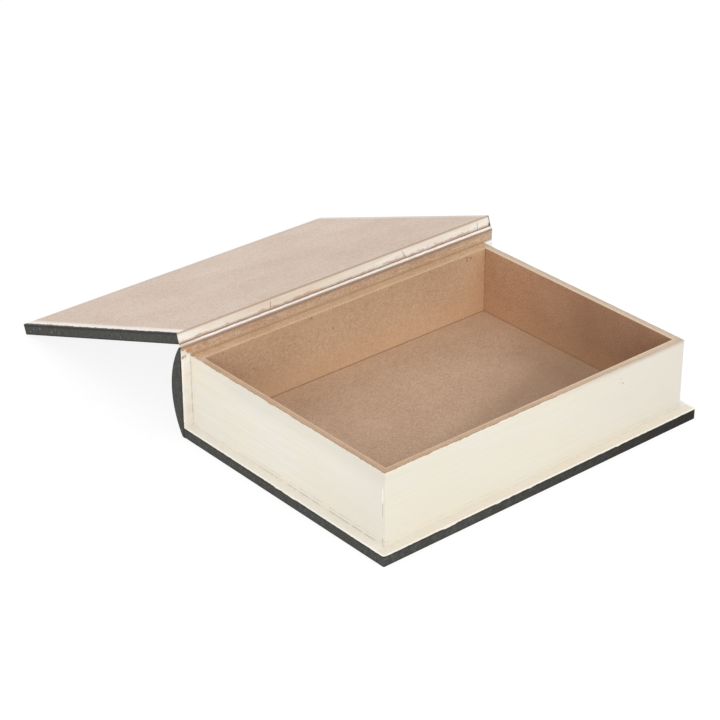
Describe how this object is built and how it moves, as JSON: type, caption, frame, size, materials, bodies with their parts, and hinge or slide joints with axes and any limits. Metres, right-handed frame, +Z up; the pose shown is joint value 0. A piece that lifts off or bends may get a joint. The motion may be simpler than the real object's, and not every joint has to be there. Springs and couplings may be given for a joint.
{
  "type": "book box",
  "caption": "Keepsake box shaped like a book, with an open tray for papers and a hinged cover that folds right back.",
  "frame": {"origin": "centre of the bottom cover's underside", "axes": "+Z up, +X to the right along the spine, -Y towards the fore edge, +Y towards the spine and the opened lid"},
  "size_m": [0.3, 0.4312, 0.0834],
  "materials": {
    "raw_mdf": "raw sanded fibreboard",
    "ivory_mdf": "fibreboard, brushed ivory paint outside and raw inside",
    "lid_mdf": "raw sanded fibreboard with an ivory painted border",
    "covering": "matt charcoal covering sheet",
    "hinge_lining": "white cotton lining, charcoal outside",
    "pin_steel": "dull drawn wire"
  },
  "bodies": {
    "box": {"base_board": "ivory_mdf", "floor_panel": "raw_mdf", "front_wall": "ivory_mdf", "rear_wall": "raw_mdf", "left_wall": "ivory_mdf", "right_wall": "ivory_mdf", "spine_moulding": "raw_mdf", "base_covering": "covering", "spine_covering": "covering", "hinge_strip": "hinge_lining", "corner_pins": "pin_steel", "base_pins": "pin_steel", "spine_pins": "pin_steel"},
    "lid": {"lid_board": "lid_mdf", "lid_covering": "covering"}
  },
  "joints": [
    {"name": "lid_hinge", "type": "hinge", "parent": "box", "child": "lid", "pos_m": [0, 0.10996, 0.07443], "axis": [1, 0, 0], "range_deg": [0, 200.17], "deforming": ["hinge_strip"]}
  ]
}
